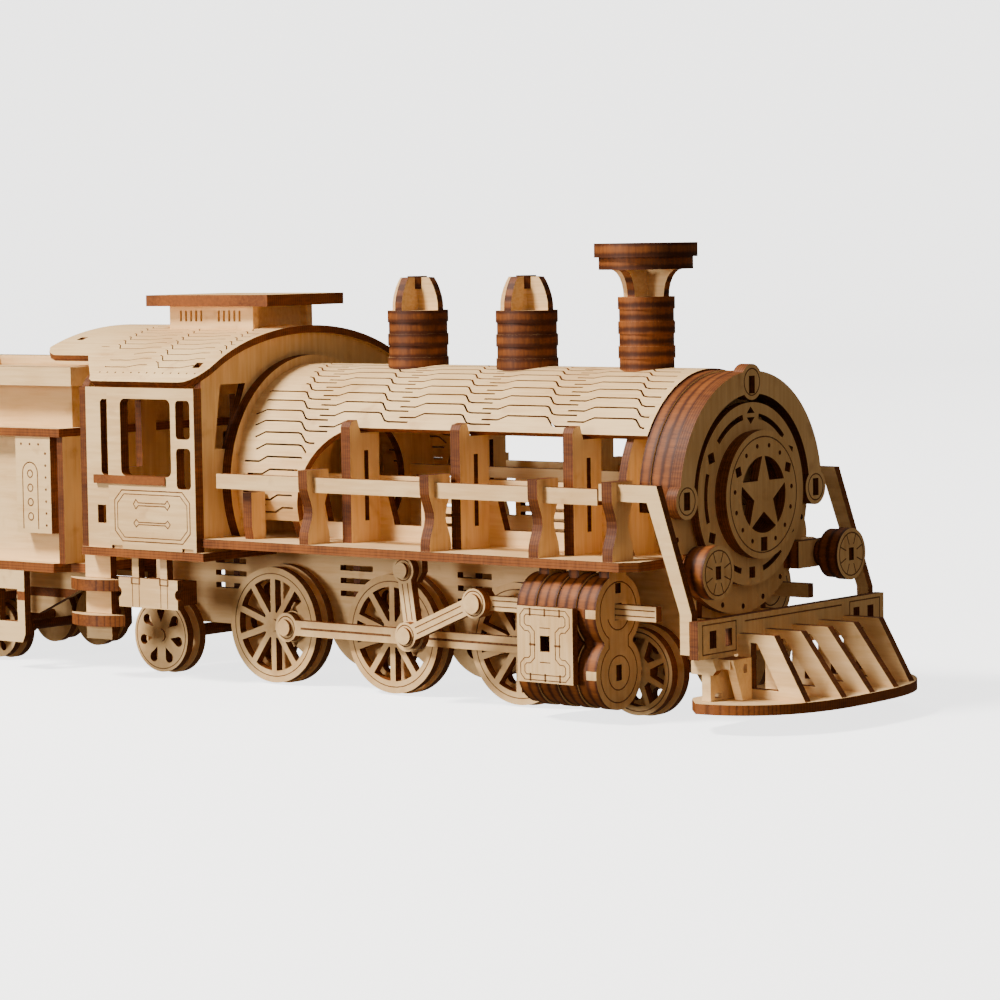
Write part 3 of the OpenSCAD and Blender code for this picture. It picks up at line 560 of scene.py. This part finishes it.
def boiler_skin(materials):
    lo, hi = (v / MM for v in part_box("boiler_skin"))
    radius = (hi.y - lo.y) / 2
    centre = hi.z - radius
    low_end = math.acos((lo.z - centre) / radius)
    blend_start, blend_length = lo.x + 18.3, 17.0
    rear_margin, front_margin, edge_margin = 1.6, 1.2, 1.5
    look_aside = 1.2

    def reach(x):
        """Angle from the crown to the sheet's lower edge."""
        t = min(1.0, max(0.0, (x - blend_start) / blend_length))
        height = lo.z + (centre + radius * 0.5 - lo.z) * math.sqrt(1 - (1 - t) ** 2)
        return math.acos((height - centre) / radius)

    stations = [lo.x] + [blend_start + blend_length * (1 - math.cos(math.radians(a)))
                         for a in range(0, 91, 6)] + [hi.x]
    edge = [(x, radius * reach(x)) for x in stations]
    outline = [(x, -v) for x, v in edge] + [(x, v) for x, v in reversed(edge)]

    def ok(x, v):
        nearest = min(reach(x), reach(x - look_aside), reach(x + look_aside))
        return (lo.x + rear_margin < x < hi.x - front_margin
                and abs(v) < radius * nearest - edge_margin)

    period, pitch = 24.0, 2.95
    slot_rows, first_x, slant, crown_gap = 18, lo.x - 16, 1.15, 0.2
    holes = []
    for side in (1, -1):
        for row in range(slot_rows):
            for column in range(-1, 6):
                # rows climb forward, so the steps line up along a slant
                path = wave(first_x + column * period - slant * (slot_rows - 1 - row),
                            -(row + 0.5) * pitch - crown_gap, period, pitch)
                path = [(u, v * side) for u, v in path]
                for piece in clip_paths(path, ok):
                    holes.append(slot_loop(piece, SLOT))
    rows = int(low_end * radius / (pitch / 2)) + 1
    bends = bend_lines(lo.x, hi.x, pitch / 2, rows)

    def place(x, v, d):
        a = v / radius
        return (x, (radius - d) * math.sin(a), centre + (radius - d) * math.cos(a))

    piece = bent_sheet("boiler_skin_slotted", outline, holes, bends, place, SKIN, materials,
                       "locomotive")
    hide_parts("boiler_skin")


def cab_roof(materials):
    lo, hi = (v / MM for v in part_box("cab_roof"))
    half, rise = hi.y, hi.z - lo.z
    arch_power = 1.4
    angles = np.radians(np.linspace(0, 90, 181))

    def profile(w, r):
        return w * np.sin(angles), lo.z + r * np.cos(angles) ** arch_power

    y, z = profile(half, rise)
    y_in, z_in = profile(half - PLY, rise - SKIN)
    length = np.concatenate([[0], np.cumsum(np.hypot(np.diff(y), np.diff(z)))])
    low = float(length[-1])
    rear_eave_z = 76.5
    rear_edge = float(np.interp(-rear_eave_z, -z, length))
    front_round = 7.0
    notch_x = hi.x - 36.8
    overhang_x = notch_x - 7.4
    eave_bevel = 1.6

    def place(x, v, d):
        t = d / SKIN
        # the outer face stops short of the inner one, so the burnt edge shows from the side
        s = abs(v) * (1 - eave_bevel / low * (1 - t))
        yy = np.interp(s, length, y) * (1 - t) + np.interp(s, length, y_in) * t
        zz = np.interp(s, length, z) * (1 - t) + np.interp(s, length, z_in) * t
        return (x, math.copysign(float(yy), v), float(zz))

    corner = [(hi.x - front_round * (1 - math.cos(math.radians(a))),
               low - front_round * (1 - math.sin(math.radians(a)))) for a in range(0, 91, 15)]
    side = corner + [(notch_x + 1.4, low), (notch_x + 0.3, low - 0.6), (notch_x - 0.2, low - 1.8),
                     (overhang_x, rear_edge), (lo.x + 5.2, rear_edge),
                     (lo.x + 2.4, rear_edge - 1.4), (lo.x, rear_edge - 4.4)]
    outline = side + [(x, -v) for x, v in reversed(side)]

    def ok(x, v):
        v = abs(v)
        if x < notch_x + 1.5:
            return lo.x + 17 < x and v < rear_edge - 2.5
        return x < hi.x - 1.5 - max(0, v - low + front_round) and 7 < v < low - 4.5

    period, pitch = 17.5, 3.0
    first_x, slant, roof_slot = lo.x + 13.5, 0.9, 0.3
    peg_half, rivet_half, rivet_gap = 1.1, 0.22, 2.6
    shape = ((0.0, 0.45), (0.06, 0.30), (0.16, -0.40), (0.55, -0.40), (0.75, -0.05), (0.90, -0.05))
    holes = []
    for mirror in (1, -1):
        for row in range(2, 14):
            for column in range(-1, 4):
                start = first_x + column * period + slant * row
                path = [(start + a * period, mirror * (row * pitch - b * pitch)) for a, b in shape]
                holes += [slot_loop(p, roof_slot) for p in clip_paths(path, ok)]
        for x, v in ((hi.x - 4.8, low - 6.2), (lo.x + 5.5, rear_edge - 10.5)):
            holes.append(square_hole(x, mirror * v, peg_half))
        # row of small rivet holes along the eave
        for k in range(13):
            holes.append(square_hole(notch_x + 2.2 + rivet_gap * k, mirror * (low - 3.0), rivet_half))
    bends = bend_lines(lo.x, hi.x, 1.5, 29)
    piece = bent_sheet("cab_roof_slotted", outline, holes, bends, place, SKIN, materials,
                       "locomotive")
    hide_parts("cab_roof")


# ---------- materials of the CAD nodes ----------

def clad(names, material):
    for name in names:
        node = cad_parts[name]
        node.data.materials.clear()
        node.data.materials.append(material)


def dress_nodes():
    sides = ["chassis_sides", "boiler_sides", "cab_sides", "tender_sides", "handrails",
             "front_braces", "tool_boxes", "pilot_slats", "link_hangers"]
    clad(sides, plywood("ply_side", "Y", burn=0.6))
    rods = [f"{rod}_{side}" for side in ("right", "left")
            for rod in ("coupling_rod", "link_arm", "diagonal_rod", "piston_rod")]
    clad(rods, plywood("ply_rod", "Y", burn=0.4, grain=(300, 1500, 300)))
    wheels = ["driver_rear", "driver_middle", "driver_front", "leading_wheelset", "trailing_wheelset"]
    wheels += [f"tender_wheelset_{i}" for i in (1, 2, 3, 4)]
    clad(wheels, plywood("ply_wheel", "Y", burn=0.5, grain=(250, 1500, 250), tan_and_shade=0.15))
    # painted shade: the front-facing plates below (cross pieces, smokebox, cylinders, lamps) get a
    # darker tan face tone
    across = ["chassis_crossbars", "boiler_ribs", "boiler_formers", "handrail_posts",
              "cab_front_wall", "cab_rear_wall", "buffer_beam", "tender_ends", "smokebox_arch"]
    clad(across, plywood("ply_across", "X", burn=0.8, tan_and_shade=0.1))
    clad(["smokebox_plate", "smokebox_saddle", "smokebox_door"],
         plywood("ply_smokebox", "X", burn=0.6, tan_and_shade=0.35))
    ring_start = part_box("smokebox_rings")[0].x / MM
    clad(["smokebox_rings"], plywood("ply_rings", "X", burn=0.7, pitch=STACK, offset=ring_start))
    cylinder_low, cylinder_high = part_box("cylinder_left")
    cover_depth, cover_reach = 1.86, 9
    cover_y = cylinder_high.y / MM - cover_depth
    clad(["cylinder_right", "cylinder_left"],
         plywood("ply_cylinder", "X", burn=0.6, pitch=STACK, offset=cylinder_low.x / MM, tan_and_shade=0.2,
                 zones=(("Y", cover_y, cover_y + cover_reach, "Y"),)))
    lamp_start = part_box("headlamps")[1].x / MM
    clad(["headlamps"], plywood("ply_lamp", "X", burn=0.45, pitch=STACK, offset=lamp_start, tan_and_shade=0.2))
    flat = ["running_board", "cab_floor", "loco_drawbar", "tender_floor", "tender_deck"]
    clad(flat, plywood("ply_flat", "Z", burn=0.35))
    chimney_low, chimney_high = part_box("chimney")
    cap, middle = chimney_high.z / MM, (chimney_low.x + chimney_high.x) / 2 / MM
    bell_low, bell_high = cap - 11.8, cap - 5.8
    clad(["chimney"], plywood("ply_chimney", "Z", burn=0.65, pitch=STACK, offset=cap, tan_and_shade=0.2,
                              zones=(("CROSS", bell_low, bell_high),), crossings=(middle,)))
    domes = [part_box("dome_front"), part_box("dome_rear")]
    clad(["dome_front", "dome_rear"],
         plywood("ply_dome", "Z", burn=0.85, pitch=STACK, offset=DOME_RING_Z, tan_and_shade=0.2,
                 zones=(("CROSS", DOME_RING_Z, ALL_ABOVE),),
                 crossings=tuple((lo.x + hi.x) / 2 / MM for lo, hi in domes)))
    treads = (("Z", 12.8, 15.7), ("Z", 21.3, 24.2))
    clad(["cab_steps"], plywood("ply_steps", "Y", burn=0.5, zones=treads))
    board_top, board_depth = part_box("roof_hatch")[1].z / MM, 2.75
    clad(["roof_hatch"], plywood("ply_hatch", "XY", burn=0.35,
                                 zones=(("Z", board_top - board_depth, board_top + 1),)))
    clad(["pilot_base"], plywood("ply_pilot", "XY", burn=0.2, zones=(("Z", 0, 6.65),)))
    clad(["bogie_front", "bogie_rear"], plywood("ply_bogie", "Y", burn=0.5, zones=(("Z", 15.1, 30),)))
    clad(["tender_underframe"], plywood("ply_under", "Y", burn=0.5, zones=(("Z", 17.3, 19.5),)))
    clad(["tender_hopper"], plywood("ply_hopper", "XY", burn=0.5, tan_and_shade=0.4))
    clad(["tender_rim"], plywood("ply_rim", "ALL", zones=(("XY", 32, 35, "Y"),)))


# ---------- engraved details ----------

def parallel(a, b, gap, trim_a, trim_b):
    """Two lines beside the middle line from a to b, cut short by the trims."""
    a, b = np.array(a, float), np.array(b, float)
    way = (b - a) / np.linalg.norm(b - a)
    aside = np.array([-way[1], way[0]]) * gap / 2
    return [open_line([tuple(a + way * trim_a + aside * s), tuple(b - way * trim_b + aside * s)])
            for s in (1, -1)]


def engrave_gear(ink):
    """Lines on the rods and the wheels, which ride with them."""
    for side in ("right", "left"):
        rod_low, rod_high = (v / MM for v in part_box(f"coupling_rod_{side}"))
        crank_z = (rod_low.z + rod_high.z) / 2
        reach = max(abs(rod_low.y), abs(rod_high.y))
        eye_r, clear = 3.4, 4.6
        first, last = rod_low.x + eye_r, rod_high.x - eye_r
        half = (last - first) / 2
        spans = [open_line([(first + half * i + clear, crank_z),
                            (first + half * (i + 1) - clear, crank_z)], GROOVE) for i in (0, 1)]
        spans += [closed_line(ring(first + half * i, crank_z, 2.6)) for i in (0, 1, 2)]
        engrave(f"coupling_lines_{side}", spans, side, reach, f"coupling_rod_{side}", ink)

        top, foot = (SHIFT + 7.5, 30.0), (SHIFT + 9.7, 15.6)
        eye = (SHIFT + 29.5, 23.9)
        lines = parallel(top, foot, 1.5, 3.0, 3.2) + [closed_line(ring(*top, 2.35))]
        engrave(f"arm_lines_{side}", lines, side, LINK_Y, f"link_arm_{side}", ink)
        lines = parallel(foot, eye, 1.4, 3.4, 3.6)
        lines += [closed_line(ring(*foot, 2.4)), closed_line(ring(*eye, 2.75))]
        engrave(f"diagonal_lines_{side}", lines, side, LINK_Y + 2.2, f"diagonal_rod_{side}",
                ink)
        end = (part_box(f"piston_rod_{side}")[1].x / MM, eye[1])
        engrave(f"piston_lines_{side}", parallel(eye, end, 1.3, 3.6, 0.3), side, LINK_Y,
                f"piston_rod_{side}", ink)
        for wheel, scribed in (("driver_rear", DRIVER_RIM), ("driver_middle", DRIVER_RIM),
                               ("driver_front", DRIVER_RIM), ("leading_wheelset", LEADING_RIM),
                               ("trailing_wheelset", TRAILING_RIM)):
            low, high = (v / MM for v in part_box(wheel))
            x, z = (low.x + high.x) / 2, (low.z + high.z) / 2
            rim = closed_line(ring(x, z, scribed, step=6), FINE)
            engrave(f"{wheel}_line_{side}", [rim], side, WHEEL_Y, wheel, ink)


def engrave_cab(ink):
    sill_reach = 0.3
    panel_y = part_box("cab_sides")[1].y / MM - sill_reach
    rear_x, front_x, low_z, high_z = SHIFT - 74.4, SHIFT - 49.9, 33.9, 45.9

    def frame_path(inset, cut):
        a, b, c, d = rear_x + inset, front_x - inset, low_z + inset, high_z - inset
        return [(a + cut, c), (b - cut, c), (b, c + cut), (b, d - cut), (b - cut, d), (a + cut, d),
                (a, d - cut), (a, c + cut)]

    def handle(z, tall):
        a, b = rear_x + 6.2, front_x - 6.4
        return [(a, z), (a + 0.8, z + tall), (a + 1.6, z + 0.3 * tall), (b - 1.6, z + 0.3 * tall),
                (b - 0.8, z + tall), (b, z), (b - 0.8, z - tall), (b - 1.6, z - 0.3 * tall),
                (a + 1.6, z - 0.3 * tall), (a + 0.8, z - tall)]

    lines = [closed_line(frame_path(0, 2.4), BROAD), closed_line(frame_path(0.9, 2.2), FINE),
             closed_line(handle(42.7, 1.1), THIN), closed_line(handle(38.2, 0.9), THIN)]
    for side in ("right", "left"):
        engrave(f"cab_lines_{side}", lines, side, panel_y, "locomotive", ink)


def engrave_cylinders(ink):
    cover_y = (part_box("cylinder_left")[1] / MM).y
    cx, zs = SHIFT + 54.5, (9.9, 23.9)
    quarter = [(5.3, 0), (6.1, -0.9), (6.1, -2.7), (5.3, -3.5), (4.2, -3.6), (3.4, -4.4)]
    right = [(cx + u, zs[1] + v) for u, v in quarter]
    right += [(cx + u, zs[0] - v) for u, v in reversed(quarter)]
    pipe = right + [(2 * cx - x, z) for x, z in reversed(right)]
    outer, inner = thick_path(pipe, 1.15, True)
    lines = [closed_line(outer, HAIR), closed_line(inner, HAIR)]
    bar_half = 0.85
    for z in zs:
        for u in (-4, 0, 4):
            lines.append(open_line([(cx + u, z - bar_half), (cx + u, z + bar_half)], BAR))
    for u in (-3.4, 3.4):
        lines.append(open_line([(cx + u - bar_half, 16.9), (cx + u + bar_half, 16.9)], BAR))
    lines += [open_line([(cx - 1.4, z), (cx + 1.4, z)], HAIR) for z in (20.6, 13.2)]
    end_x = SHIFT + 66.8
    cy, low_z, high_z = 28.6, 10.8, 23.9
    waist = ring(cy, low_z, 6.4, 122, 418, 8) + ring(cy, high_z, 6.4, -58, 238, 8)
    front = [closed_line(waist), closed_line(ring(cy, low_z, 3.7)),
             open_line(ring(cy, high_z, 3.9, 200, 340, 10))]
    for side, sign in (("right", -1), ("left", 1)):
        engrave(f"cover_lines_{side}", lines, side, cover_y, "locomotive", ink)
        ends = [([(y * sign, z) for y, z in path], width, closed) for path, width, closed in front]
        engrave(f"cylinder_end_{side}", ends, "front", end_x, "locomotive", ink)


def engrave_front(ink):
    lamp_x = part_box("headlamps")[1].x / MM
    lines = []
    for sign in (-1, 1):
        y, z = 25.2 * sign, 33.0
        for i in range(8):
            a = math.radians(45 * i + 22.5)
            lines.append(open_line([(y + 2.3 * math.cos(a), z + 2.3 * math.sin(a)),
                                    (y + 4.6 * math.cos(a), z + 4.6 * math.sin(a))], THIN))
        lines.append(closed_line(ring(y, z, 4.75)))
    engrave("lamp_lines", lines, "front", lamp_x, "locomotive", ink)

    beam_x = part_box("buffer_beam")[1].x / MM
    lines = [open_line([(-18.4, 22.4), (18.4, 22.4)], BOLD)]
    for sign in (-1, 1):
        inner, outer, low, high = 21.6 * sign, 33.6 * sign, 16.6, 22.8
        lines.append(closed_line([(inner, low), (inner, high), (outer, high), (outer, low)]))
    engrave("beam_lines", lines, "front", beam_x, "locomotive", ink)

    arch_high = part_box("smokebox_arch")[1] / MM
    boiler_z = arch_high.z - BOILER_DROP
    lug_r = 24.2
    lines = [closed_line(ring(y, boiler_z + up, 2.9))
             for y, up in ((-lug_r, 0), (lug_r, 0), (0, lug_r))]
    engrave("lug_lines", lines, "front", arch_high.x, "locomotive", ink)
    door_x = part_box("smokebox_door")[1].x / MM
    engrave("door_line", [closed_line(ring(0, boiler_z, 12.5, step=6))], "front", door_x,
            "locomotive", ink)


def engrave_tender(ink):
    half = 34.0
    lines = []
    for rear in (SHIFT - 112.3, SHIFT - 190.0):
        middle, front = rear + 4.9, rear + 12
        arch = ring(middle, 48.6, 2.6, 180, 0, -15)
        lines.append(open_line([(middle - 2.6, 35)] + arch + [(middle + 2.6, 35)], BOLD))
        lines += [closed_line(ring(middle, z, 0.9, step=30), BOLD) for z in (38, 41.5, 45, 48.4)]
        lines += [dot(front - 1.7, 36 + 2.9 * k) for k in range(7)]
        lines += [dot(rear + 2.0 + 3.0 * k, 55.6) for k in range(3)]
    for side in ("right", "left"):
        engrave(f"tender_lines_{side}", lines, side, half, "tender", ink)


def engrave_boxes(ink):
    lines = []
    for x in (SHIFT - 71.3, SHIFT - 62.0):
        lines += [open_line([(x + u, 18.2), (x + u, 24.9)], HAIR) for u in (0.0, 2.2)]
        lines.append(closed_line([(x - 0.3, 23.6), (x + 2.5, 23.6), (x + 2.5, 25.0), (x - 0.3, 25.0)]))
    strap_y = 36.0
    for side in ("right", "left"):
        engrave(f"strap_lines_{side}", lines, side, strap_y, "locomotive", ink)


def burn_sills(edge_wood):
    sill_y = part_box("cab_sides")[1].y / MM
    sill_z, sill_height = 48.3, 2.0
    band = [open_line([(SHIFT - 81, sill_z), (SHIFT - 57.5, sill_z)], sill_height)]
    for side in ("right", "left"):
        engrave(f"sill_edge_{side}", band, side, sill_y, "locomotive", edge_wood)


make_camera()
make_studio()
dress_nodes()
bent_wood = (plywood("ply_bent_face", "ALL"), plywood("ply_bent_edge", "NONE", burn=0.55))
boiler_skin(bent_wood)
cab_roof(bent_wood)
ink_line = burnt_line("ply_engraved")
engrave_gear(ink_line)
engrave_cab(ink_line)
engrave_cylinders(ink_line)
engrave_front(ink_line)
engrave_tender(ink_line)
engrave_boxes(ink_line)
burn_sills(plywood("ply_sill_edge", "NONE", burn=0.4))
